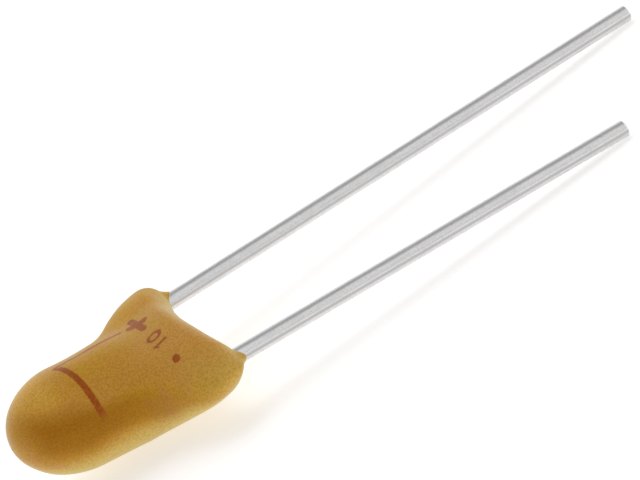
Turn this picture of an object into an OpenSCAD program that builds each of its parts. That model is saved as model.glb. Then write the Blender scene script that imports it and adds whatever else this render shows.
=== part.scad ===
// Dipped tantalum capacitor: a sintered anode in a bead of resin, on two straight wire leads.
// It is drawn with the leads in the plane z = 0, along +X from the resin's end at x = 0,
// and then laid down as it rests: on its belly and on the tips of both leads.

/* [Leads] */
// Diameter of each lead wire
lead_d = 0.5; // [0.4:0.05:0.6]
// Distance between the leads' centres where they leave the resin
pitch = 5.08; // [4.8:0.02:5.6]
// Length of the positive lead outside the resin
positive_l = 16.3; // [6:0.1:25]
// Length of the negative lead outside the resin
negative_l = 12.8; // [6:0.1:25]
// Outward lean of the positive lead, in degrees
positive_splay = 1.7; // [0:0.1:4]
// Outward lean of the negative lead, in degrees
negative_splay = 2.7; // [0:0.1:4]
// Straight wire inside the resin before the first bend
lead_entry = 0.08; // [0.02:0.01:0.12]
// Radius of every bend, at the middle of the wire
bend_r = 0.7; // [0.55:0.05:0.9]
// Angle by which the positive lead turns in towards the riser, in degrees
positive_bend = 59; // [50:1:70]
// Angle by which the negative lead turns in towards the pellet, in degrees
negative_bend = 36; // [32:1:48]

/* [Pellet] */
// Diameter of the sintered anode
anode_d = 1.72; // [1.5:0.02:2]
// Length of the sintered anode
anode_l = 2.95; // [2.2:0.01:3.6]
// Rounding of the anode's closed edge
anode_edge_r = 0.15; // [0.1:0.01:0.25]
// Shift of the pellet's axis towards the positive lead
pellet_y = 0.26; // [0.1:0.01:0.35]
// Lean of the pellet's axis above the plane of the leads, in degrees
pellet_tilt = 4.4; // [0:0.1:6]
// Thickness of the manganese dioxide layer
manganese_t = 0.06; // [0.04:0.01:0.08]
// Thickness of the graphite layer
graphite_t = 0.04; // [0.03:0.01:0.06]
// Thickness of the silver paint
silver_t = 0.05; // [0.03:0.01:0.08]
// Distance from the anode's open face down to the edge of the graphite
graphite_rim = 0.12; // [0.08:0.01:0.2]
// Distance from the edge of the graphite down to the edge of the silver
silver_rim = 0.18; // [0.1:0.01:0.3]

/* [Riser and joints] */
// Diameter of the riser wire
riser_d = 0.25; // [0.2:0.01:0.3]
// Depth of the riser wire in the anode
riser_depth = 1.4; // [1:0.1:2]
// Distance from the anode's open face to the weld
riser_gap = 0.66; // [0.55:0.01:0.9]
// Length of riser beyond the weld
riser_past = 0.35; // [0.25:0.01:0.5]
// Diameter of the insulating washer on the riser
washer_d = 0.9; // [0.7:0.05:1.1]
// Thickness of the insulating washer
washer_t = 0.15; // [0.1:0.01:0.2]
// Length of positive lead beyond the weld
weld_past = 0.3; // [0.2:0.01:0.4]
// Depth by which the weld presses the lead into the riser
weld_sink = 0.05; // [0.03:0.01:0.07]
// Diameter of the weld nugget
weld_d = 0.44; // [0.38:0.01:0.5]
// Length of negative lead that lies along the pellet
lap_l = 1.9; // [1.4:0.1:2.2]
// Gap between the lapped lead and the pellet's side
flank_gap = 0.04; // [0.03:0.01:0.08]
// Length of the solder on the lapped lead
solder_l = 1.9; // [1.5:0.1:2.2]
// Greatest thickness of the solder around the lead
solder_t = 0.15; // [0.12:0.01:0.18]
// Shift of the solder from the lead towards the pellet
solder_in = 0.08; // [0.05:0.01:0.1]

/* [Resin coat] */
// Resin beyond the closed end of the pellet
tip_wall = 0.96; // [0.85:0.01:1.2]
// Length of the rounded tip
nose_l = 2.1; // [1.7:0.05:2.5]
// Resin beside the pellet, on the positive side
side_wall = 0.37; // [0.3:0.01:0.6]
// Resin outside the lapped lead, on the negative side
lead_wall = 0.27; // [0.22:0.01:0.5]
// Resin over and under the pellet
face_wall = 0.6; // [0.45:0.01:0.9]
// Distance by which the barrel hangs below the pellet's axis
barrel_sag = 0.14; // [0:0.01:0.25]
// Reach of the shoulders beyond the centre of each lead
shoulder_over = 0.96; // [0.7:0.01:1.2]
// Reach of the flat end beyond the centre of each lead
foot_over = 0.44; // [0.3:0.01:0.6]
// Thickness of the shoulders
shoulder_t = 2.58; // [2:0.02:3]
// Middle of the positive flare, back from the flat end
positive_flare_at = 2.28; // [2:0.01:2.5]
// Length of the positive flare
positive_flare_l = 2.46; // [2:0.02:3]
// Middle of the negative flare, back from the flat end
negative_flare_at = 2.07; // [1.9:0.01:2.4]
// Length of the negative flare
negative_flare_l = 2.94; // [2.4:0.02:3.2]
// Middle of the change of thickness, back from the flat end
taper_at = 2.18; // [1.8:0.01:2.6]
// Length of the change of thickness
taper_l = 2.26; // [1.6:0.02:2.6]
// Length over which the barrel's sag fades into the shoulders
sag_l = 2.91; // [2.5:0.01:3.2]
// Depth of the saddle between the leads
saddle = 0.33; // [0.1:0.01:0.4]
// Length over which the saddle fades into the barrel
saddle_l = 2.72; // [2:0.01:3]
// Rounding of the positive corner, along the body
positive_corner_l = 0.96; // [0.8:0.01:1.4]
// Rounding of the negative corner, along the body
negative_corner_l = 1.22; // [0.8:0.01:1.4]
// Rounding of the flat end between the two faces, along the body
end_round_l = 0.71; // [0.5:0.01:1]
// Radius of the hollow where the resin climbs each lead
collar_r = 0.25; // [0.2:0.01:0.4]
// Thickness of the resin at the top of each collar
collar_lip = 0.03; // [0.02:0.01:0.06]
// Depth of the collar's foot in the flat end
collar_sink = 0.1; // [0.08:0.01:0.15]

/* [Hidden] */
$fn = 48;

nose_rings = 12;
side_rings = 24;
end_rings = 9;
bend_swell = 0.004; // the wire is a little thicker where it was bent
bend_lap = 0.05; // length by which a straight stretch reaches into a bend
last_angle = 84; // angle of the last ring round the flat end, just short of its crest
ring_points = 64;
collar_steps = 6;
tilt_steps = 30;

lead_r = lead_d / 2;
riser_r = riser_d / 2;
anode_r = anode_d / 2;
manganese_r = anode_r + manganese_t;
graphite_r = manganese_r + graphite_t;
silver_r = graphite_r + silver_t;
coating_t = silver_r - anode_r;

// ---- Route of the leads, as points and headings in the plane of the leads ----

function facing(h) = [cos(h), sin(h)];
function left_of(h) = [-sin(h), cos(h)];
function ahead(p, h, l) = p + l * facing(h);
function turned(p, h, turn) =
    p + sign(turn) * bend_r * (left_of(h) - left_of(h + turn));

// The positive lead turns in and crosses over the riser at the weld.
positive_exit = [0, pitch / 2];
positive_in = 180 + positive_splay;
positive_p1 = ahead(positive_exit, positive_in, lead_entry);
positive_p2 = turned(positive_p1, positive_in, positive_bend);
positive_leg = positive_in + positive_bend;
positive_leg_l = (pellet_y - positive_p2.y) / sin(positive_leg);
weld = ahead(positive_p2, positive_leg, positive_leg_l);
weld_z = weld_sink - lead_r - riser_r;

// The negative lead is worked out on the same side, and mirrored when it is drawn.
lap_y = silver_r + flank_gap + lead_r - pellet_y;
negative_exit = [0, pitch / 2];
negative_in = 180 + negative_splay;
negative_p1 = ahead(negative_exit, negative_in, lead_entry);
negative_p2 = turned(negative_p1, negative_in, negative_bend);
negative_leg = negative_in + negative_bend;
negative_turn = 180 - negative_leg;
second_bend_y = bend_r * (1 - cos(negative_turn));
negative_leg_l = (lap_y + second_bend_y - negative_p2.y) / sin(negative_leg);
negative_p3 = ahead(negative_p2, negative_leg, negative_leg_l);
negative_p4 = turned(negative_p3, negative_leg, negative_turn);
negative_end = ahead(negative_p4, 180, lap_l);

// ---- Form of the resin coat, as rings from the tip to the flat end ----

pellet_end = riser_gap + anode_l + coating_t;
body_l = cos(pellet_tilt) * pellet_end + tip_wall - weld.x;
positive_half = pellet_y + silver_r + side_wall;
negative_half = lap_y + lead_r + lead_wall;
half_t = silver_r + face_wall;
shoulder_half = pitch / 2 + shoulder_over;
foot_half = pitch / 2 + foot_over;

function ease(t) =
    let (u = min(max(t, 0), 1)) u * u * u * (u * (6 * u - 15) + 10);
function mix(a, b, t) = a + (b - a) * t;
function quarter(t) = sqrt(1 - pow(min(max(t, 0), 1), 2));

function nose(x) = quarter((nose_l - body_l - x) / nose_l);
function flare(x, half, at, l) = mix(half, shoulder_half, ease((x + at + l / 2) / l));
function rounded_side(x, half, at, l, corner_l) =
    mix(foot_half, flare(x, half, at, l), quarter((x + corner_l) / corner_l));
function half_width(x, side) = nose(x) * (side > 0
    ? rounded_side(x, positive_half, positive_flare_at, positive_flare_l, positive_corner_l)
    : rounded_side(x, negative_half, negative_flare_at, negative_flare_l, negative_corner_l));
function half_height(x) = nose(x) * quarter((x + end_round_l) / end_round_l)
    * mix(half_t, shoulder_t / 2, ease((x + taper_at + taper_l / 2) / taper_l));

// Middle of the barrel: it hangs below the pellet's axis, and comes up to the leads.
function barrel_z(x) = weld_z + (weld.x - x) * tan(pellet_tilt) - barrel_sag;
function middle_z(x) = barrel_z(min(x, -sag_l)) * ease(-x / sag_l);
function saddle_x(x, y) =
    saddle * ease(1 + x / saddle_l) * max(1 - pow(2 * y / pitch, 2), 0);

function ring_point(x, a) =
    let (y = half_width(x, cos(a)) * cos(a))
    [x - saddle_x(x, y), y, middle_z(x) + half_height(x) * sin(a)];

nose_end = nose_l - body_l;
stations = [
    for (i = [1 : nose_rings]) nose_end - nose_l * cos(90 * i / nose_rings),
    for (i = [1 : side_rings]) mix(nose_end, -end_round_l, i / side_rings),
    for (i = [1 : end_rings]) end_round_l * (sin(last_angle * i / end_rings) - 1)
];
rings = len(stations);
tip_point = [-body_l, 0, middle_z(-body_l)];
coat_points = [
    for (x = stations) for (j = [0 : ring_points - 1]) ring_point(x, 360 * j / ring_points),
    tip_point
];

function at(i, j) = i * ring_points + (j + ring_points) % ring_points;
coat_faces = [
    for (j = [0 : ring_points - 1]) [rings * ring_points, at(0, j), at(0, j + 1)],
    for (i = [0 : rings - 2]) for (j = [0 : ring_points - 1])
        each [[at(i, j), at(i + 1, j), at(i, j + 1)],
              [at(i + 1, j), at(i + 1, j + 1), at(i, j + 1)]],
    for (j = [0 : ring_points / 2 - 1])
        each [if (j > 0) [at(rings - 1, -j), at(rings - 1, j + 1), at(rings - 1, j)],
              if (j < ring_points / 2 - 1)
                  [at(rings - 1, -j), at(rings - 1, -j - 1), at(rings - 1, j + 1)]]
];

// ---- Pose at rest: on the belly and on both lead tips ----

positive_out = facing(positive_splay);
negative_out = facing(-negative_splay);
positive_tip = positive_exit + positive_l * positive_out;
negative_tip = [0, -pitch / 2] + negative_l * negative_out;
tip_span = positive_tip - negative_tip;
tip_line = [tip_span.x, tip_span.y, 0] / norm(tip_span);
tip_side = [-tip_line.y, tip_line.x, 0];

function up_at(a) = [0, 0, cos(a)] + sin(a) * tip_side;
function reach(dir, tip, out) =
    [tip.x, tip.y, 0] * dir + lead_r * sqrt(1 - pow([out.x, out.y, 0] * dir, 2));
function coat_reach(dir) = max([for (p = coat_points) p * dir]);
function overhang(a) = coat_reach(-up_at(a)) - reach(-up_at(a), positive_tip, positive_out);
function settled(lo, hi, steps) =
    let (a = (lo + hi) / 2)
    steps == 0 ? a
    : overhang(a) > 0 ? settled(a, hi, steps - 1)
    : settled(lo, a, steps - 1);

rest_tilt = settled(0, 20, tilt_steps);
rest_z = up_at(rest_tilt);
along_line = tip_line.x * tip_line;
rest_x = along_line + cos(rest_tilt) * ([1, 0, 0] - along_line)
    - sin(rest_tilt) * cross(tip_line, [1, 0, 0]);
rest_y = cross(rest_z, rest_x);

function part_reach(dir) = max(coat_reach(dir), reach(dir, positive_tip, positive_out),
                               reach(dir, negative_tip, negative_out));
function middle(dir) = (part_reach(dir) - part_reach(-dir)) / 2;

module laid_down() {
    translate([-middle(rest_x), -middle(rest_y), part_reach(-rest_z)])
        rotate(a = rest_tilt, v = tip_line)
            children();
}

// ---- Wires ----

// A straight stretch, which starts a little way inside the bend behind it.
module straight_wire(p, heading, l) {
    translate([p.x, p.y, 0])
        rotate([0, 90, heading])
            translate([0, 0, -bend_lap])
                cylinder(d = lead_d, h = l + bend_lap);
}

module bent_wire(p, heading, turn) {
    side = sign(turn);
    translate([p.x, p.y, 0])
        rotate(heading)
            translate([0, side * bend_r, 0])
                rotate(min(turn, 0) - side * 90)
                    rotate_extrude(angle = abs(turn))
                        translate([bend_r, 0])
                            circle(d = lead_d + bend_swell);
}

module positive_wire() {
    straight_wire(positive_p1, positive_splay, lead_entry + positive_l);
    bent_wire(positive_p1, positive_in, positive_bend);
    straight_wire(positive_p2, positive_leg, positive_leg_l + weld_past);
}

module negative_wire() {
    mirror([0, 1, 0]) {
        straight_wire(negative_p1, negative_splay, lead_entry + negative_l);
        bent_wire(negative_p1, negative_in, negative_bend);
        straight_wire(negative_p2, negative_leg, negative_leg_l + bend_lap);
        bent_wire(negative_p3, negative_leg, negative_turn);
        straight_wire(negative_p4, 180, lap_l);
    }
}

// ---- Pellet: z = 0 is the anode's open face, and +Z runs along the riser to the weld ----

module on_pellet() {
    translate([weld.x, weld.y, weld_z])
        rotate([0, 90 + pellet_tilt, 0])
            translate([0, 0, -riser_gap])
                children();
}

// Round slug from the open end at z = top, down past the anode's closed face by skin.
module slug(skin, top) {
    r = anode_r + skin;
    edge = anode_edge_r + skin;
    low = -anode_l - skin;
    rotate_extrude() {
        translate([0, low]) square([r - edge, top - low]);
        translate([0, low + edge]) square([r, top - low - edge]);
        intersection() {
            translate([r - edge, low + edge]) circle(r = edge);
            translate([0, low]) square([r, edge]);
        }
    }
}

module riser_form() {
    translate([0, 0, -riser_depth])
        cylinder(d = riser_d, h = riser_depth + riser_gap + riser_past);
}

module washer_form() {
    cylinder(d = washer_d, h = washer_t);
}

module anode_form() {
    slug(0, 0);
}

module manganese_form() {
    slug(manganese_t, manganese_t);
}

module graphite_form() {
    slug(manganese_t + graphite_t, -graphite_rim);
}

module silver_form() {
    slug(coating_t, -graphite_rim - silver_rim);
}

// ---- Joints ----

module nugget_form() {
    translate([weld.x, weld.y, weld_sink / 2 - lead_r]) sphere(d = weld_d);
}

// Spindle of solder round the lapped lead, a little closer to the pellet.
module solder_form() {
    r = lead_r + solder_t;
    steps = 10;
    translate([negative_end.x + solder_l / 3, solder_in - lap_y, 0])
        rotate([0, 90, 0])
            rotate_extrude()
                polygon([for (i = [0 : steps])
                    [r * sin(180 * i / steps), -solder_l / 2 * cos(180 * i / steps)]]);
}

// ---- Resin ----

// Hollow-sided collar where the resin climbs a lead.
module collar(exit, heading) {
    foot_r = lead_r + collar_lip + collar_r;
    translate([exit.x, exit.y, 0])
        rotate([0, 90, heading])
            translate([0, 0, -collar_sink])
                rotate_extrude()
                    polygon([
                        [0, collar_r], [0, -collar_sink], [foot_r, -collar_sink],
                        for (i = [0 : collar_steps])
                            [foot_r - collar_r * sin(90 * i / collar_steps),
                             collar_r - collar_r * cos(90 * i / collar_steps)]
                    ]);
}

module coat_form() {
    polyhedron(points = coat_points, faces = coat_faces, convexity = 4);
    collar(positive_exit, positive_splay);
    mirror([0, 1, 0]) collar(negative_exit, negative_splay);
}

// Everything that the resin flows round.
module contents() {
    positive_wire();
    negative_wire();
    nugget_form();
    solder_form();
    on_pellet() {
        riser_form();
        washer_form();
        manganese_form();
        graphite_form();
        silver_form();
    }
}

// ---- Sub-parts ----

module resin_coat() {
    color([0.71, 0.52, 0.2])
        laid_down()
            difference() {
                coat_form();
                contents();
            }
}

module positive_lead() {
    color([0.78, 0.78, 0.79]) laid_down() positive_wire();
}

module negative_lead() {
    color([0.78, 0.78, 0.79]) laid_down() negative_wire();
}

module anode_pellet() {
    color([0.36, 0.37, 0.4])
        laid_down()
            on_pellet()
                difference() {
                    anode_form();
                    riser_form();
                }
}

module riser_wire() {
    color([0.5, 0.51, 0.55])
        laid_down()
            difference() {
                on_pellet() riser_form();
                positive_wire();
            }
}

module insulating_washer() {
    color([0.93, 0.93, 0.9])
        laid_down()
            on_pellet()
                difference() {
                    washer_form();
                    riser_form();
                }
}

module manganese_layer() {
    color([0.13, 0.12, 0.12])
        laid_down()
            on_pellet()
                difference() {
                    manganese_form();
                    anode_form();
                    washer_form();
                }
}

module graphite_layer() {
    color([0.2, 0.2, 0.21])
        laid_down()
            on_pellet()
                difference() {
                    graphite_form();
                    manganese_form();
                }
}

module silver_layer() {
    color([0.72, 0.72, 0.7])
        laid_down()
            on_pellet()
                difference() {
                    silver_form();
                    graphite_form();
                }
}

module solder_joint() {
    color([0.66, 0.67, 0.68])
        laid_down()
            difference() {
                solder_form();
                negative_wire();
                on_pellet() silver_form();
            }
}

module weld_nugget() {
    color([0.55, 0.55, 0.56])
        laid_down()
            difference() {
                nugget_form();
                positive_wire();
                on_pellet() riser_form();
            }
}

resin_coat();
positive_lead();
negative_lead();
anode_pellet();
riser_wire();
insulating_washer();
manganese_layer();
graphite_layer();
silver_layer();
solder_joint();
weld_nugget();
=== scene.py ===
import bmesh
import bpy
import numpy as np
from mathutils import Matrix, Vector


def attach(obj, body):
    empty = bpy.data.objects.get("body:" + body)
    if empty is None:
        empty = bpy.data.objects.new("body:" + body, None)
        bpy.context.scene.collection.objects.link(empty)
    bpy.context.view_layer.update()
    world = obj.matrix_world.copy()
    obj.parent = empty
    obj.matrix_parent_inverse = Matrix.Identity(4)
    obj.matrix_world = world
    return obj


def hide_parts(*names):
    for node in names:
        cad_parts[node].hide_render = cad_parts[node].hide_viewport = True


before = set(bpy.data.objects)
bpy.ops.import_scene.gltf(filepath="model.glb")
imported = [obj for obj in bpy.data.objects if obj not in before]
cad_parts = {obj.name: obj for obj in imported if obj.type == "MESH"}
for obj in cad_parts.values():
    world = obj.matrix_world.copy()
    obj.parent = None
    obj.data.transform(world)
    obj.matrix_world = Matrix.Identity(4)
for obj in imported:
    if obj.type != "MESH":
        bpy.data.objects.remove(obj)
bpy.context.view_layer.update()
print("frame loaded")

# Lengths are in millimetres in the frame of the leads: they lie in the plane z = 0 and run
# along +x from the resin's end at x = 0. layDown turns that frame to the way the part rests.
layDown = {
    "turn": ((0.995189, 0.00273627, 0.0979382),
             (0.00273627, 0.998444, -0.0556996),
             (-0.0979382, 0.0556996, 0.993633)),
    "shift": (-4.90498, -0.0186569, 1.67612),
}
mm = 0.001
turnMatrix = np.array(layDown["turn"])
shiftVector = np.array(layDown["shift"])


def placed(points):
    return (np.asarray(points, float) @ turnMatrix.T + shiftVector) * mm


def meshObject(name, points, faces, sharpAngle=35):
    mesh = bpy.data.meshes.new(name)
    mesh.from_pydata([tuple(p) for p in points], [], faces)
    mesh.update()
    mesh.shade_smooth()
    mesh.set_sharp_from_angle(angle=np.radians(sharpAngle))
    piece = bpy.data.objects.new(name, mesh)
    bpy.context.scene.collection.objects.link(piece)
    return piece


# the camera's place, and which way is right and down in its view
camera = {
    "spot": (-26.407, -129.166, 65.949),
    "right": (0.833330, -0.394017, -0.387700),
    "down": (-0.512668, -0.288613, -0.808625),
    "lens": 292.5,
    "sensor": 36,
    "near": 0.005,
    "far": 5,
}


def addCamera(c):
    data = bpy.data.cameras.new("studioCamera")
    data.lens = c["lens"]
    data.sensor_width = c["sensor"]
    data.clip_start = c["near"]
    data.clip_end = c["far"]
    right = turnMatrix @ np.array(c["right"])
    down = turnMatrix @ np.array(c["down"])
    ahead = np.cross(right, down)
    view = bpy.data.objects.new("studioCamera", data)
    bpy.context.scene.collection.objects.link(view)
    turn = Matrix([list(v) for v in np.array([right, -down, -ahead]).T]).to_4x4()
    view.matrix_world = Matrix.Translation(Vector(placed(c["spot"]))) @ turn
    bpy.context.scene.camera = view


leads = {
    "radius": 0.25,
    "pitch": 5.08,
    "entry": 0.08,  # straight wire inside the resin before the first bend
    "bendRadius": 0.7,
    "bendStep": 6,  # degrees
    "straightStep": 0.6,
    "sides": 40,
    "chamfer": 0.045,
    "weld": (-1.74738, 0.26),
    "pastWeld": 0.3,
    # splay and bend are in degrees; the negative wire ends in a lap along the pellet
    "positive": {"length": 16.3, "splay": 1.7, "bend": 59},
    "negative": {"length": 12.9, "splay": 2.7, "bend": 36,
                 "lapStart": (-2.40715, 1.04), "lap": 1.9},
}


def facing(angle):
    a = np.radians(angle)
    return np.array([np.cos(a), np.sin(a)])


def bendPoints(start, heading, turn):
    # points round one bend, and the heading after it
    side = np.sign(turn)
    steps = max(2, int(np.ceil(abs(turn) / leads["bendStep"])))
    centre = start + side * leads["bendRadius"] * facing(heading + 90)
    angles = heading + turn * np.arange(1, steps + 1) / steps
    return [centre - side * leads["bendRadius"] * facing(a + 90) for a in angles], heading + turn


def positiveRoute():
    lead = leads["positive"]
    leave = np.array([0, leads["pitch"] / 2])
    inward = 180 + lead["splay"]
    start = leave + leads["entry"] * facing(inward)
    bend, heading = bendPoints(start, inward, lead["bend"])
    last = np.array(leads["weld"]) + leads["pastWeld"] * facing(heading)
    return [leave - lead["length"] * facing(inward), leave, start] + bend + [last]


def negativeRoute():
    lead = leads["negative"]
    leave = np.array([0, leads["pitch"] / 2])
    inward = 180 + lead["splay"]
    start = leave + leads["entry"] * facing(inward)
    bend, heading = bendPoints(start, inward, lead["bend"])
    turnBack = 180 - heading
    lapStart = np.array(lead["lapStart"])
    side = np.sign(turnBack)
    centre = lapStart + side * leads["bendRadius"] * facing(180 + 90)
    secondStart = centre - side * leads["bendRadius"] * facing(heading + 90)
    second, _ = bendPoints(secondStart, heading, turnBack)
    last = lapStart + lead["lap"] * facing(180)
    route = [leave - lead["length"] * facing(inward), leave, start]
    route += bend + [secondStart] + second + [last]
    return [np.array([p[0], -p[1]]) for p in route]  # worked out on the positive side


def fineRoute(route):
    fine = [route[0]]
    for a, b in zip(route, route[1:]):
        parts = max(1, int(np.ceil(np.linalg.norm(b - a) / leads["straightStep"])))
        fine += [a + (b - a) * i / parts for i in range(1, parts + 1)]
    return np.array(fine)


def wireMesh(name, route):
    # a round wire swept along a flat route, with chamfered ends
    line = fineRoute(route)
    ahead = np.gradient(line, axis=0)
    ahead /= np.linalg.norm(ahead, axis=1)[:, None]
    chamfer = leads["chamfer"]
    line = np.vstack([line[0], line[0] + ahead[0] * chamfer, line[1:-1],
                      line[-1] - ahead[-1] * chamfer, line[-1]])
    ahead = np.vstack([ahead[0], ahead, ahead[-1]])
    sizes = np.full(len(line), leads["radius"])
    sizes[[0, -1]] -= chamfer
    count = leads["sides"]
    angles = 2 * np.pi * np.arange(count) / count
    side = np.stack([-ahead[:, 1], ahead[:, 0]], axis=1)
    travel = np.r_[0, np.cumsum(np.linalg.norm(np.diff(line, axis=0), axis=1))]
    points = [(p[0] + s[0] * r * np.cos(a), p[1] + s[1] * r * np.cos(a), r * np.sin(a))
              for p, s, r in zip(line, side, sizes) for a in angles]
    rings = len(line)
    faces = []
    for i in range(rings - 1):
        for j in range(count):
            k = (j + 1) % count
            faces.append((i * count + j, i * count + k, (i + 1) * count + k, (i + 1) * count + j))
    faces.append(tuple(reversed(range(count))))
    faces.append(tuple(range((rings - 1) * count, rings * count)))
    piece = meshObject(name, placed(points), faces)
    # the map's u runs once round the wire, and v along it in millimetres
    uvMap = piece.data.uv_layers.new(name="alongWire")
    for face in piece.data.polygons[:-2]:
        i, j = divmod(face.vertices[0], count)
        corners = ((j, i), (j + 1, i), (j + 1, i + 1), (j, i + 1))
        for loop, (u, v) in zip(face.loop_indices, corners):
            uvMap.data[loop].uv = (u / count, travel[v])
    return piece


# a flare and the taper are the middle, back from the flat end, and the length
resin = {
    "length": 6.4563,
    "nose": 2.1,
    "positiveHalf": 1.64,
    "negativeHalf": 1.56,
    "halfThickness": 1.61,
    "shoulderHalf": 3.5,
    "footHalf": 2.98,
    "shoulderHalfThickness": 1.29,
    "positiveFlare": (2.28, 2.46),
    "negativeFlare": (2.07, 2.94),
    "taper": (2.18, 2.26),
    "sagLength": 2.91,
    "sag": 0.14,
    "lean": 4.4,  # of the pellet's axis, in degrees
    "weldZ": -0.325,
    "saddle": 0.33,
    "saddleLength": 2.72,
    "positiveCorner": 0.96,
    "negativeCorner": 1.22,
    "endRound": 0.71,
    "collarRadius": 0.53,
    "collarHeight": 0.2,
    "collarPower": 2.5,
    "collarFacing": (60, 185),  # side of each wire on which the resin climbs, in degrees
    "collarSpread": 0.17,
    "collarSidePower": 1.5,
    "collarDepth": -0.4,  # the skin further back than this stays as it is
    "wave": 0.012,
    # share of the height, then two ripples: radians to the mm in x, y and z, and the start
    "swells": ((1.0, (2.3, 1.1, 0.0), 0.4, (0.0, 1.7, -1.3), 1.0),
               (0.5, (4.1, 0.0, -2.9), 2.0, (0.0, 3.3, 0.0), 0.7)),
    "waveInset": 1.3,  # the waves stay inside the plain form by this many heights
    "waveFade": 0.8,
    "lastRing": 88.5,  # degrees round the flat end
    "cutSharpAngle": 40,
    "noseRings": 34,
    "sideRings": 76,
    "endRings": 42,
    "around": 300,
}


def ease(t):
    u = np.clip(t, 0, 1)
    return u ** 3 * (u * (6 * u - 15) + 10)


def quarter(t):
    return np.sqrt(1 - np.clip(t, 0, 1) ** 2)


def blended(a, b, t):
    return a + (b - a) * t


def noseShare(x):
    return quarter((resin["nose"] - resin["length"] - x) / resin["nose"])


def sideShape(x, half, flare, corner):
    where, length = flare
    flared = blended(half, resin["shoulderHalf"], ease((x + where + length / 2) / length))
    return blended(resin["footHalf"], flared, quarter((x + corner) / corner))


def halfWidth(x, side):
    positive = sideShape(x, resin["positiveHalf"], resin["positiveFlare"], resin["positiveCorner"])
    negative = sideShape(x, resin["negativeHalf"], resin["negativeFlare"], resin["negativeCorner"])
    return noseShare(x) * np.where(side > 0, positive, negative)


def halfHeight(x):
    where, length = resin["taper"]
    thick = blended(resin["halfThickness"], resin["shoulderHalfThickness"],
                    ease((x + where + length / 2) / length))
    return noseShare(x) * quarter((x + resin["endRound"]) / resin["endRound"]) * thick


def middleZ(x):
    back = np.minimum(x, -resin["sagLength"])
    barrel = resin["weldZ"] + (leads["weld"][0] - back) * np.tan(np.radians(resin["lean"]))
    return (barrel - resin["sag"]) * ease(-x / resin["sagLength"])


def coatSurface(x, angle):
    y = halfWidth(x, np.cos(angle)) * np.cos(angle)
    dip = resin["saddle"] * ease(1 + x / resin["saddleLength"])
    dip = dip * np.clip(1 - (2 * y / leads["pitch"]) ** 2, 0, None)
    return np.stack([x - dip, y, middleZ(x) + halfHeight(x) * np.sin(angle)], axis=-1)


def raiseCollars(points):
    # the resin climbs a little way up each wire, most on one side of it
    spread = resin["collarSpread"]
    sides = zip((1, -1), (leads["positive"], leads["negative"]), resin["collarFacing"])
    for side, lead, angle in sides:
        leave = np.array([0, side * leads["pitch"] / 2, 0])
        out = np.r_[facing(side * lead["splay"]), 0]
        offset = points - leave
        along = offset @ out
        across = offset - along[:, None] * out
        away = np.linalg.norm(across, axis=1)
        toward = across[:, 1:] @ facing(angle) / np.maximum(away, leads["radius"])
        climb = np.clip((resin["collarRadius"] - away)
                        / (resin["collarRadius"] - leads["radius"]), 0, 1)
        climb = climb ** resin["collarPower"] * (along > resin["collarDepth"])
        sided = np.clip((toward + spread) / (1 + spread), 0, 1) ** resin["collarSidePower"]
        climb *= resin["collarHeight"] * sided
        points += climb[:, None] * out
    return points


def waves(points):
    # low, wide waves, as in a dipped bead
    return resin["wave"] * sum(
        share * np.sin(points @ turns + start) * np.cos(points @ otherTurns + otherStart)
        for share, turns, start, otherTurns, otherStart in resin["swells"])


def coatMesh(name):
    noseEnd = resin["nose"] - resin["length"]
    noseSteps = np.arange(1, resin["noseRings"] + 1) / resin["noseRings"]
    sideSteps = np.arange(1, resin["sideRings"] + 1) / resin["sideRings"]
    endSteps = np.arange(1, resin["endRings"] + 1) / resin["endRings"]
    stations = np.concatenate([
        noseEnd - resin["nose"] * np.cos(np.pi / 2 * noseSteps),
        blended(noseEnd, -resin["endRound"], sideSteps),
        resin["endRound"] * (np.sin(np.radians(resin["lastRing"]) * endSteps) - 1)])
    count = resin["around"]
    angles = 2 * np.pi * np.arange(count) / count
    grid = coatSurface(stations[:, None], angles[None, :])
    rings = len(stations)
    tip = np.array([[-resin["length"], 0, middleZ(np.array(-resin["length"]))]])
    # the waves go along the skin's own normals
    around = np.roll(grid, -1, axis=1) - np.roll(grid, 1, axis=1)
    along = np.gradient(grid, axis=0)
    normal = np.cross(around, along)
    normal /= np.linalg.norm(normal, axis=2)[..., None] + 1e-12
    if normal[rings // 2, 0, 1] < 0:
        normal = -normal
    points = grid.reshape(-1, 3)
    fade = ease(-points[:, 0] / resin["waveFade"])[:, None]
    lift = waves(points)[:, None] - resin["waveInset"] * resin["wave"]
    points = points + normal.reshape(-1, 3) * lift * fade
    points = raiseCollars(np.vstack([points, tip]))
    faces = []

    def at(i, j):
        return i * count + j % count

    for j in range(count):
        faces.append((rings * count, at(0, j + 1), at(0, j)))
    for i in range(rings - 1):
        for j in range(count):
            faces.append((at(i, j), at(i, j + 1), at(i + 1, j + 1), at(i + 1, j)))
    last = rings - 1
    for j in range(count // 2):
        if j == 0:
            faces.append((at(last, 0), at(last, 1), at(last, -1)))
        elif j == count // 2 - 1:
            faces.append((at(last, -j), at(last, j), at(last, j + 1)))
        else:
            faces.append((at(last, -j), at(last, j), at(last, j + 1), at(last, -j - 1)))
    return meshObject(name, placed(points), faces)


# what the resin flows round: the washer is radius and thickness, the riser is radius and
# length, the nugget is radius and height, the solder is x, y, radius and length
contents = {
    "pelletRadius": 1.01,
    "silverRim": 0.30,
    "silverStep": 0.05,
    "graphiteRim": 0.12,
    "graphiteStep": 0.04,
    "manganese": 0.06,
    "anodeLength": 2.95,
    "coating": 0.15,
    "edge": 0.30,
    "washer": (0.45, 0.15),
    "riser": (0.125, 1.01),
    "weldToFace": 0.66,
    "nugget": (0.22, -0.225),
    "solder": (-3.67382, -0.96, 0.4, 1.9),
    "sides": 48,
    "edgeSteps": 9,
    "nuggetSteps": 17,
    "solderSteps": 11,
}


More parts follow.
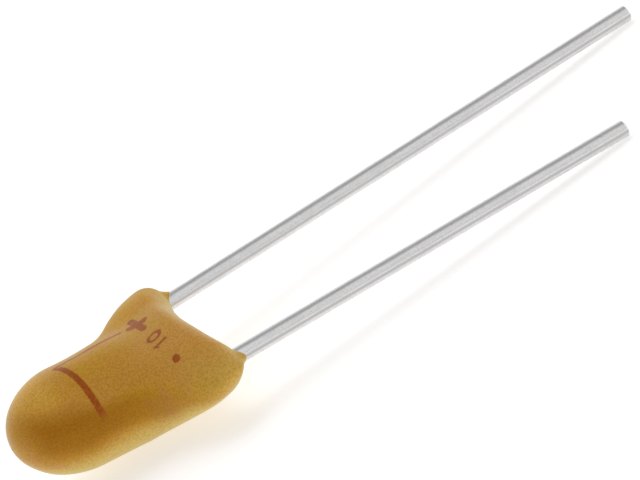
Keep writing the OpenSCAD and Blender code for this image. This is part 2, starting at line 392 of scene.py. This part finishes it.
def turnedMesh(name, outline, start, axis, up):
    # outline is (distance along, radius) from one end on the axis to the other
    axis = np.array(axis) / np.linalg.norm(axis)
    up = np.array(up) - np.dot(up, axis) * axis
    up /= np.linalg.norm(up)
    side = np.cross(axis, up)
    count = contents["sides"]
    points, faces = [np.array(start) + outline[0][0] * axis], []
    for along, radius in outline[1:-1]:
        for j in range(count):
            a = 2 * np.pi * j / count
            points.append(np.array(start) + along * axis
                          + radius * (np.cos(a) * up + np.sin(a) * side))
    points.append(np.array(start) + outline[-1][0] * axis)
    rings, end = len(outline) - 2, len(points) - 1
    for j in range(count):
        k = (j + 1) % count
        faces.append((0, 1 + k, 1 + j))
        for i in range(rings - 1):
            b = 1 + i * count
            faces.append((b + j, b + k, b + count + k, b + count + j))
        b = 1 + (rings - 1) * count
        faces.append((b + j, b + k, end))
    return meshObject(name, placed(points), faces)


def contentCutters():
    c = contents
    weld = np.array([leads["weld"][0], leads["weld"][1], resin["weldZ"]])
    lean = np.radians(resin["lean"])
    toWeld = np.array([np.cos(lean), 0, -np.sin(lean)])
    face = weld - c["weldToFace"] * toWeld
    low, radius = -c["anodeLength"] - c["coating"], c["pelletRadius"]
    corner = [(low + c["edge"] * (1 - np.cos(a)), radius - c["edge"] * (1 - np.sin(a)))
              for a in np.linspace(0, np.pi / 2, c["edgeSteps"])]
    outline = [(low, 0)] + corner
    outline += [(-c["silverRim"], radius),
                (-c["silverRim"], radius - c["silverStep"]),
                (-c["graphiteRim"], radius - c["silverStep"]),
                (-c["graphiteRim"], radius - c["silverStep"] - c["graphiteStep"]),
                (c["manganese"], radius - c["silverStep"] - c["graphiteStep"]),
                (c["manganese"], c["washer"][0]),
                (c["washer"][1], c["washer"][0]),
                (c["washer"][1], c["riser"][0]),
                (c["riser"][1], c["riser"][0]),
                (c["riser"][1], 0)]
    pellet = turnedMesh("pelletCutter", outline, face, toWeld, (0, 0, 1))
    radius, height = c["nugget"]
    ball = [(-radius * np.cos(a), radius * np.sin(a))
            for a in np.linspace(0, np.pi, c["nuggetSteps"])]
    nugget = turnedMesh("nuggetCutter", ball, (*leads["weld"], height), (0, 0, 1), (1, 0, 0))
    x, y, radius, length = c["solder"]
    spindle = [(-length / 2 * np.cos(a), radius * np.sin(a))
               for a in np.linspace(0, np.pi, c["solderSteps"])]
    solder = turnedMesh("solderCutter", spindle, (x, y, 0), (1, 0, 0), (0, 0, 1))
    return [pellet, nugget, solder]


def tidyMesh(mesh, reach=2e-7):
    # joins points that fall together, so that a cut leaves no flat slivers
    work = bmesh.new()
    work.from_mesh(mesh)
    bmesh.ops.remove_doubles(work, verts=work.verts, dist=reach)
    bmesh.ops.dissolve_degenerate(work, edges=work.edges, dist=reach)
    bmesh.ops.triangulate(work, faces=[face for face in work.faces if len(face.verts) > 4])
    work.to_mesh(mesh)
    work.free()


def hollowOut(piece, cutters):
    # cuts the wires and the pellet out of the resin for good, with no modifier left
    for cutter in cutters:
        cut = piece.modifiers.new("cut", "BOOLEAN")
        cut.operation = "DIFFERENCE"
        cut.solver = "MANIFOLD"
        cut.object = cutter
    graph = bpy.context.evaluated_depsgraph_get()
    mesh = bpy.data.meshes.new_from_object(piece.evaluated_get(graph))
    piece.modifiers.clear()
    old = piece.data
    piece.data = mesh
    bpy.data.meshes.remove(old)
    mesh.name = piece.name
    tidyMesh(mesh)
    mesh.shade_smooth()
    mesh.set_sharp_from_angle(angle=np.radians(resin["cutSharpAngle"]))


class Bench:
    # a short way to wire up shader nodes

    def __init__(self, tree):
        self.nodes = tree.nodes
        self.links = tree.links

    def put(self, kind, inputs=None, **settings):
        node = self.nodes.new(kind)
        for name, value in settings.items():
            setattr(node, name, value)
        for name, value in (inputs or {}).items():
            self.feed(node.inputs[name], value)
        return node

    def feed(self, socket, value):
        if isinstance(value, bpy.types.NodeSocket):
            self.links.new(value, socket)
        else:
            socket.default_value = value

    def maths(self, operation, a, b=0.0, c=0.0, clamp=False):
        return self.put("ShaderNodeMath", {0: a, 1: b, 2: c},
                        operation=operation, use_clamp=clamp).outputs[0]

    def product(self, first, *others):
        for other in others:
            first = self.maths("MULTIPLY", first, other)
        return first

    def split(self, vector):
        return self.put("ShaderNodeSeparateXYZ", {0: vector}).outputs

    def vector(self, operation, a, b=(0, 0, 0), scale=1.0):
        node = self.put("ShaderNodeVectorMath", {0: a, 1: b}, operation=operation)
        if operation == "SCALE":
            self.feed(node.inputs["Scale"], scale)
        return node.outputs["Value" if operation in ("DOT_PRODUCT", "LENGTH") else "Vector"]

    def fade(self, value, start, end, low=0.0, high=1.0):
        # goes smoothly from low to high while value goes from start to end
        return self.put("ShaderNodeMapRange", {"Value": value, "From Min": start, "From Max": end,
                                               "To Min": low, "To Max": high},
                        interpolation_type="SMOOTHSTEP").outputs["Result"]

    def noise(self, vector, size, detail=2.0, roughness=0.5):
        inputs = {"Vector": vector, "Scale": 1 / size, "Detail": detail, "Roughness": roughness}
        return self.put("ShaderNodeTexNoise", inputs).outputs["Fac"]

    def blend(self, share, a, b):
        node = self.put("ShaderNodeMix", data_type="RGBA")
        for socket, value in ((node.inputs[0], share), (node.inputs[6], a), (node.inputs[7], b)):
            self.feed(socket, value)
        return node.outputs[2]

    def bump(self, height, depth, strength=1.0, normal=None):
        node = self.put("ShaderNodeBump", {"Height": height, "Distance": depth * mm,
                                           "Strength": strength})
        if normal is not None:
            self.feed(node.inputs["Normal"], normal)
        return node.outputs["Normal"]

    def leadFrame(self):
        # object coordinates turned back to the leads' own frame, in millimetres
        angles = Matrix([list(row) for row in turnMatrix]).to_euler()
        spot = self.put("ShaderNodeTexCoord").outputs["Object"]
        return self.put("ShaderNodeMapping", {"Vector": spot, "Location": Vector(shiftVector * mm),
                                              "Rotation": angles, "Scale": (mm, mm, mm)},
                        vector_type="TEXTURE").outputs["Vector"]


def newMaterial(name):
    material = bpy.data.materials.new(name)
    material.use_nodes = True
    return material, Bench(material.node_tree), material.node_tree.nodes["Principled BSDF"]


def dress(piece, material):
    piece.data.materials.clear()
    piece.data.materials.append(material)


# Pairs that end in Fade, Side, Heights or Limits say where a tone starts and where it is full,
# in millimetres in the frame of the leads; a noise is its size, its detail and its roughness.
ochre = {
    "colour": (0.595, 0.285, 0.024, 1),
    "dusty": (0.58, 0.275, 0.055, 1),
    "cloud": (0.9, 3.0),
    "cloudFade": (0.35, 0.65),
    "olive": (0.565, 0.292, 0.022, 1),
    "mottle": (0.3, 3.0, 0.6),
    "mottleFade": (0.4, 0.62),
    "grainTint": (0.71, 0.61, 0.30, 1),
    "grain": (0.06, 2.0, 0.6),
    "grainFade": (0.35, 0.7, 0.0, 0.75),
    "grainDepth": 0.0018,
    "peel": (0.35, 2.0),
    "peelDepth": 0.006,
    # painted sheen on the upper face, and a painted highlight over the top of the nose
    "paintedTopSheen": (0.605, 0.292, 0.058, 1),
    "paintedTopSheenSide": (-0.4, -1.3),
    "paintedTopSheenHeights": (0.1, 0.5, 0.0, 0.85),
    "paintedNoseHighlight": (0.73, 0.41, 0.075, 1),
    "paintedNoseHighlightLimits": (-4.3, -5.2, 0.0, 0.8),
    "paintedNoseHighlightHeights": (0.5, 1.1),
    # painted shade: darker along the middle of the flank, most on the negative lead's side, and
    # over the nose, where the surface turns away from the light
    "paintedShade": (0.395, 0.139, 0.004, 1),
    "paintedShadeLimits": (-0.2, -4.4),
    "paintedShadeNose": (-6.5, -5.5),
    "paintedShadeMiddle": -0.22,
    "paintedShadeRise": -0.145,
    "paintedShadeHalf": (0.66, 0.16),
    "paintedShadeSpread": (-3.6, -4.8, 1.0, 1.5),
    "paintedShadeSide": (0.7, -0.5, 0.35, 1.0),
    # painted light from the bright floor below: paler low on the shoulders and along the belly
    "pale": (0.71, 0.515, 0.145, 1),
    "paintedFloorLightLimits": (-2.4, -0.5, 0.0, 0.5),
    "paintedFloorLightHeights": (1.0, 0.2),
    "paintedFloorLightBelly": (-0.6, -1.3),
    "paintedFloorLightFlare": (-2.6, -1.7, 0.0, 0.45),
    # satin, and duller towards the positive lead
    "duller": (0.4, 1.3, 0.42, 0.9),
    "ior": 1.8,
    "glossTint": (0.8, 0.60, 0.10, 1),
    "sheen": 0.45,
    "sheenTint": (0.90, 1.0, 0.66, 1),
    "sheenRoughness": 0.3,
}

# strokes are start, end and half width; the marks lie on the upper face, seen from above
ink = {
    "colour": (0.28, 0.034, 0.004, 1),
    "pale": (0.37, 0.066, 0.012, 1),
    "blotch": (0.09, 2.0),
    "blotchFade": (0.35, 0.7),
    "share": 0.98,
    "soft": 0.024,
    "ragged": 0.05,
    "rag": (0.07, 3.0),
    "faceHeights": (-0.3, 0.0),
    "line": [((-4.26, 0.13), (-2.13, 0.33), 0.06), ((-4.33, 0.07), (-4.16, -0.14), 0.05)],
    "plus": [((-1.66, 0.62), (-1.57, -0.22), 0.115), ((-1.84, 0.27), (-1.40, 0.14), 0.125)],
    "dot": [((-1.50, -2.13), (-1.49, -2.18), 0.112)],
    "one": [((-1.74, -1.30), (-1.34, -1.30), 0.04), ((-1.74, -1.30), (-1.66, -1.38), 0.03)],
    "nought": ((-1.54, -0.90), (0.20, 0.14), 0.04),
    "band": {"middle": -3.95, "hook": -0.3, "hookFrom": -1.35, "hookTo": 0.1, "half": 0.098,
             "top": 0.03, "fadeFrom": 0.25, "fadeTo": -0.15},
}


def strokeGap(bench, flat, start, end):
    # distance from one straight stroke
    run = Vector((*end, 0)) - Vector((*start, 0))
    offset = bench.vector("SUBTRACT", flat, (*start, 0))
    along = bench.maths("DIVIDE", bench.vector("DOT_PRODUCT", offset, run),
                        run.length_squared, clamp=True)
    nearest = bench.vector("SCALE", tuple(run), scale=along)
    return bench.vector("LENGTH", bench.vector("SUBTRACT", offset, nearest))


def inkMask(bench, spot):
    # distance of a point from each printed stroke, turned into one mask
    x, y, z = bench.split(spot)
    flat = bench.put("ShaderNodeCombineXYZ", {0: x, 1: y}).outputs[0]
    ragged = bench.maths("SUBTRACT", bench.noise(spot, *ink["rag"]), 0.5)
    ragged = bench.maths("MULTIPLY", ragged, ink["ragged"])
    soft = ink["soft"]

    def stamped(distance, half):
        return bench.fade(bench.maths("ADD", distance, ragged), half + soft, half - soft)

    masks = [stamped(strokeGap(bench, flat, start, end), half)
             for name in ("line", "plus", "dot", "one") for start, end, half in ink[name]]

    centre, radii, half = ink["nought"]
    rim = bench.vector("DIVIDE", bench.vector("SUBTRACT", flat, (*centre, 0)), (*radii, 1))
    rim = bench.maths("ABSOLUTE", bench.maths("SUBTRACT", bench.vector("LENGTH", rim), 1.0))
    masks.append(stamped(bench.maths("MULTIPLY", rim, min(radii)), half))

    band = ink["band"]
    reach = bench.maths("SUBTRACT", y, band["hookFrom"])
    reach = bench.maths("DIVIDE", reach, band["hookTo"] - band["hookFrom"], clamp=True)
    bow = bench.maths("MULTIPLY", reach, reach)
    middle = bench.maths("MULTIPLY_ADD", bow, band["hook"], band["middle"])
    stripe = stamped(bench.maths("ABSOLUTE", bench.maths("SUBTRACT", x, middle)), band["half"])
    masks.append(bench.product(stripe, bench.fade(y, band["top"] + soft, band["top"] - soft),
                               bench.fade(z, band["fadeTo"], band["fadeFrom"])))

    whole = masks[0]
    for mask in masks[1:]:
        whole = bench.maths("MAXIMUM", whole, mask)
    return bench.product(whole, bench.fade(z, *ink["faceHeights"]))


def paintedShadeShare(bench, x, y, z):
    # painted shade in a band round a line that rises towards the nose
    line = bench.maths("MULTIPLY_ADD", bench.maths("ADD", x, resin["length"] / 2),
                       ochre["paintedShadeRise"], ochre["paintedShadeMiddle"])
    off = bench.maths("ABSOLUTE", bench.maths("SUBTRACT", z, line))
    off = bench.maths("DIVIDE", off, bench.fade(x, *ochre["paintedShadeSpread"]))
    return bench.product(bench.fade(x, *ochre["paintedShadeLimits"]), bench.fade(x, *ochre["paintedShadeNose"]),
                         bench.fade(off, *ochre["paintedShadeHalf"]),
                         bench.fade(y, *ochre["paintedShadeSide"]))


# painted floor light: paler low on the shoulders and along the belly
def paintedFloorLightShare(bench, x, z):
    shoulders = bench.product(bench.fade(x, *ochre["paintedFloorLightLimits"]),
                              bench.fade(z, *ochre["paintedFloorLightHeights"]))
    depth = bench.maths("SUBTRACT", z, bench.fade(x, *ochre["paintedFloorLightFlare"]))
    return bench.maths("MAXIMUM", shoulders, bench.fade(depth, *ochre["paintedFloorLightBelly"]))


def resinMaterial():
    material, bench, shader = newMaterial("ochreResin")
    spot = bench.leadFrame()
    x, y, z = bench.split(spot)
    cloud = bench.fade(bench.noise(spot, *ochre["cloud"]), *ochre["cloudFade"])
    mottle = bench.fade(bench.noise(spot, *ochre["mottle"]), *ochre["mottleFade"])
    # painted sheen: the upper face is painted paler and whiter, as where the overhead light falls
    paintedTopSheen = bench.product(bench.fade(y, *ochre["paintedTopSheenSide"]),
                          bench.fade(z, *ochre["paintedTopSheenHeights"]))
    # painted highlight: the top of the nose is painted paler
    paintedNoseHighlight = bench.product(bench.fade(x, *ochre["paintedNoseHighlightLimits"]),
                          bench.fade(z, *ochre["paintedNoseHighlightHeights"]))
    body = bench.blend(cloud, ochre["colour"], ochre["dusty"])
    body = bench.blend(mottle, body, ochre["olive"])
    body = bench.blend(paintedTopSheen, body, ochre["paintedTopSheen"])
    body = bench.blend(paintedNoseHighlight, body, ochre["paintedNoseHighlight"])
    # painted shade along the flank and over the nose
    body = bench.blend(paintedShadeShare(bench, x, y, z), body, ochre["paintedShade"])
    body = bench.blend(paintedFloorLightShare(bench, x, z), body, ochre["pale"])

    grain = bench.noise(spot, *ochre["grain"])
    speck = bench.blend(bench.fade(grain, *ochre["grainFade"]), (1, 1, 1, 1), ochre["grainTint"])
    body = bench.vector("MULTIPLY", body, speck)

    blotch = bench.fade(bench.noise(spot, *ink["blotch"]), *ink["blotchFade"])
    printed = bench.blend(blotch, ink["colour"], ink["pale"])
    mask = bench.product(inkMask(bench, spot), ink["share"])
    bench.feed(shader.inputs["Base Color"], bench.blend(mask, body, printed))

    peel = bench.bump(bench.noise(spot, *ochre["peel"]), ochre["peelDepth"])
    bench.feed(shader.inputs["Normal"], bench.bump(grain, ochre["grainDepth"], normal=peel))
    bench.feed(shader.inputs["Roughness"], bench.fade(y, *ochre["duller"]))
    shader.inputs["IOR"].default_value = ochre["ior"]
    shader.inputs["Specular Tint"].default_value = ochre["glossTint"]
    shader.inputs["Sheen Weight"].default_value = ochre["sheen"]
    shader.inputs["Sheen Tint"].default_value = ochre["sheenTint"]
    shader.inputs["Sheen Roughness"].default_value = ochre["sheenRoughness"]
    return material


tin = {
    "colour": (0.80, 0.795, 0.795, 1),
    "worn": (0.62, 0.615, 0.615, 1),
    "drawing": (60, 0.7, 1),  # lines to the turn round the wire, and to the millimetre along it
    "lines": (1.0, 3.0, 0.6),
    "linesFade": (0.4, 0.75),
    "linesDepth": 0.0012,
    "patches": (0.5, 3.0),
    "patchesFade": (0.3, 0.7),
    "patchesDepth": 0.004,
    "speckle": (0.55, 0.55, 0.555, 1),
    "specks": (0.06, 3.0, 0.7),
    "specksFade": (0.45, 0.75, 0.0, 0.6),
    "paintedDarkReflection": (0.48, 0.475, 0.48, 1),
    "paintedDarkReflectionAt": -0.006,  # in turns round the wire
    "paintedDarkReflectionWidths": (0.05, 0.01),
    "roughness": (0.22, 0.32),
}


def tinMaterial():
    material, bench, shader = newMaterial("brightTin")
    along = bench.put("ShaderNodeUVMap", uv_map="alongWire").outputs["UV"]
    drawn = bench.put("ShaderNodeMapping", {"Vector": along, "Scale": tin["drawing"]})
    lines = bench.noise(drawn.outputs["Vector"], *tin["lines"])
    spot = bench.leadFrame()
    patches = bench.noise(spot, *tin["patches"])
    worn = bench.product(bench.fade(lines, *tin["linesFade"]),
                         bench.fade(patches, *tin["patchesFade"]))
    surface = bench.blend(worn, tin["colour"], tin["worn"])
    specks = bench.fade(bench.noise(spot, *tin["specks"]), *tin["specksFade"])
    surface = bench.blend(specks, surface, tin["speckle"])
    # a painted dark reflection: one long dull line along one side of the wire
    off = bench.maths("FRACT", bench.maths("ADD", bench.split(along)[0], 0.5 - tin["paintedDarkReflectionAt"]))
    off = bench.maths("ABSOLUTE", bench.maths("SUBTRACT", off, 0.5))
    surface = bench.blend(bench.fade(off, *tin["paintedDarkReflectionWidths"]), surface, tin["paintedDarkReflection"])
    bench.feed(shader.inputs["Base Color"], surface)
    bench.feed(shader.inputs["Roughness"],
               bench.fade(patches, *tin["patchesFade"], *tin["roughness"]))
    patched = bench.bump(patches, tin["patchesDepth"])
    bench.feed(shader.inputs["Normal"], bench.bump(lines, tin["linesDepth"], normal=patched))
    shader.inputs["Metallic"].default_value = 1
    return material


sealedGrain = {"detail": 4.0, "roughness": 0.6, "fade": (0.35, 0.65)}

# the sealed parts, by node: colour, second colour, metallic, roughness, grain size, bump depth
sealedFinishes = {
    "anode_pellet": ((0.12, 0.125, 0.14, 1), (0.05, 0.05, 0.06, 1), 0.8, 0.7, 0.04, 0.02),
    "riser_wire": ((0.30, 0.31, 0.34, 1), (0.22, 0.23, 0.26, 1), 1.0, 0.35, 0.10, 0.002),
    "insulating_washer": ((0.86, 0.86, 0.82, 1), (0.78, 0.77, 0.72, 1), 0.0, 0.5, 0.15, 0.002),
    "manganese_layer": ((0.020, 0.018, 0.018, 1), (0.045, 0.04, 0.038, 1), 0.0, 0.85, 0.05, 0.012),
    "graphite_layer": ((0.035, 0.035, 0.038, 1), (0.07, 0.07, 0.075, 1), 0.2, 0.5, 0.06, 0.006),
    "silver_layer": ((0.55, 0.55, 0.53, 1), (0.42, 0.42, 0.41, 1), 0.6, 0.55, 0.05, 0.006),
    "solder_joint": ((0.55, 0.56, 0.57, 1), (0.40, 0.41, 0.42, 1), 1.0, 0.4, 0.20, 0.006),
    "weld_nugget": ((0.32, 0.32, 0.33, 1), (0.18, 0.16, 0.17, 1), 1.0, 0.45, 0.08, 0.008),
}


def sealedMaterial(name, finish):
    first, second, metallic, roughness, grain, depth = finish
    material, bench, shader = newMaterial(name)
    speckle = bench.noise(bench.leadFrame(), grain, sealedGrain["detail"], sealedGrain["roughness"])
    share = bench.fade(speckle, *sealedGrain["fade"])
    bench.feed(shader.inputs["Base Color"], bench.blend(share, first, second))
    bench.feed(shader.inputs["Normal"], bench.bump(speckle, depth))
    shader.inputs["Metallic"].default_value = metallic
    shader.inputs["Roughness"].default_value = roughness
    return material


addCamera(camera)
print("camera placed")

positiveWire = wireMesh("positiveWire", positiveRoute())
negativeWire = wireMesh("negativeWire", negativeRoute())
tinFinish = tinMaterial()
for wire, node in ((positiveWire, "positive_lead"), (negativeWire, "negative_lead")):
    dress(wire, tinFinish)
    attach(wire, "root")
    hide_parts(node)
print("leads made")

resinBead = coatMesh("resinBead")
cutters = contentCutters()
hollowOut(resinBead, [positiveWire, negativeWire] + cutters)
for cutter in cutters:
    bpy.data.objects.remove(cutter)
dress(resinBead, resinMaterial())
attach(resinBead, "root")
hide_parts("resin_coat")
for node, finish in sealedFinishes.items():
    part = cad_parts[node]
    for place in part.material_slots:
        place.material = sealedMaterial(node + "Finish", finish)
print("resin bead made,", len(resinBead.data.polygons), "faces")


# lengths of the studio are in metres
studio = {
    "floorSize": 4,
    "floorColour": (0.62, 0.62, 0.62, 1),
    "floorRoughness": 0.95,
    "floorGlow": 0.56,
    "front": (-0.2, -0.98, 0.0),
    "skyStrength": 0.95,
    # brightness round the sky as the object is lit, from the far side to the near side
    "skyShade": ((0.0, (1.0, 1.0, 1.0)), (0.42, (1.0, 1.0, 1.0)), (0.62, (0.42, 0.38, 0.34)),
                 (0.8, (0.10, 0.07, 0.05)), (1.0, (0.05, 0.03, 0.02))),
    # brightness that polished wire mirrors, from the near horizon over the top to the far one
    "mirrored": tuple((place, (level, level, level)) for place, level in (
        (0.0, 0.7), (0.06, 0.76), (0.14, 0.86), (0.43, 0.86), (0.52, 0.45), (0.72, 0.45),
        (0.83, 1.0), (1.0, 1.0))),
    "topSize": 0.16,
    "topSpot": (0.03, 0.08, 0.22),
    "topPower": 0.12,
}


def toneRamp(bench, share, stops):
    node = bench.put("ShaderNodeValToRGB", {"Fac": share})
    for i, (place, colour) in enumerate(stops):
        stop = node.color_ramp.elements[0] if i == 0 else node.color_ramp.elements.new(place)
        stop.position = place
        stop.color = (*colour, 1)
    return node.outputs["Color"]


def buildFloor(s):
    half = s["floorSize"] / 2
    floor = meshObject("paleFloor", [(-half, -half, 0), (half, -half, 0), (half, half, 0),
                                     (-half, half, 0)], [(0, 1, 2, 3)])
    material, bench, shader = newMaterial("paleFloor")
    shader.inputs["Base Color"].default_value = s["floorColour"]
    shader.inputs["Roughness"].default_value = s["floorRoughness"]
    shader.inputs["Specular IOR Level"].default_value = 0.0
    shader.inputs["Emission Color"].default_value = (1, 1, 1, 1)
    shader.inputs["Emission Strength"].default_value = s["floorGlow"]
    dress(floor, material)


def buildSky(s):
    world = bpy.data.worlds.new("studioSky")
    bpy.context.scene.world = world
    world.use_nodes = True
    bench = Bench(world.node_tree)
    heading = bench.put("ShaderNodeTexCoord").outputs["Generated"]
    nearness = bench.vector("DOT_PRODUCT", heading, tuple(Vector(s["front"]).normalized()))
    height = bench.split(heading)[2]
    lit = toneRamp(bench, bench.maths("MULTIPLY_ADD", nearness, 0.5, 0.5), s["skyShade"])
    turn = bench.maths("DIVIDE", bench.maths("ARCTAN2", height, nearness), float(np.pi), clamp=True)
    mirrored = toneRamp(bench, turn, s["mirrored"])
    rays = bench.put("ShaderNodeLightPath").outputs
    colour = bench.blend(rays["Is Glossy Ray"], lit, mirrored)
    unlit = bench.maths("ADD", rays["Is Camera Ray"], rays["Is Transmission Ray"], clamp=True)
    colour = bench.blend(unlit, colour, (1, 1, 1, 1))
    back = world.node_tree.nodes["Background"]
    bench.feed(back.inputs["Color"], colour)
    back.inputs["Strength"].default_value = s["skyStrength"]


def buildLamp(s):
    lamp = bpy.data.lights.new("topLight", "AREA")
    lamp.size = s["topSize"]
    lamp.energy = s["topPower"]
    top = bpy.data.objects.new("topLight", lamp)
    bpy.context.scene.collection.objects.link(top)
    top.location = s["topSpot"]
    top.rotation_euler = (-Vector(s["topSpot"])).to_track_quat("-Z", "Y").to_euler()
    top.visible_glossy = False


buildFloor(studio)
buildSky(studio)
buildLamp(studio)
bpy.context.scene.view_settings.view_transform = "Standard"
print("studio set")

bpy.context.view_layer.update()
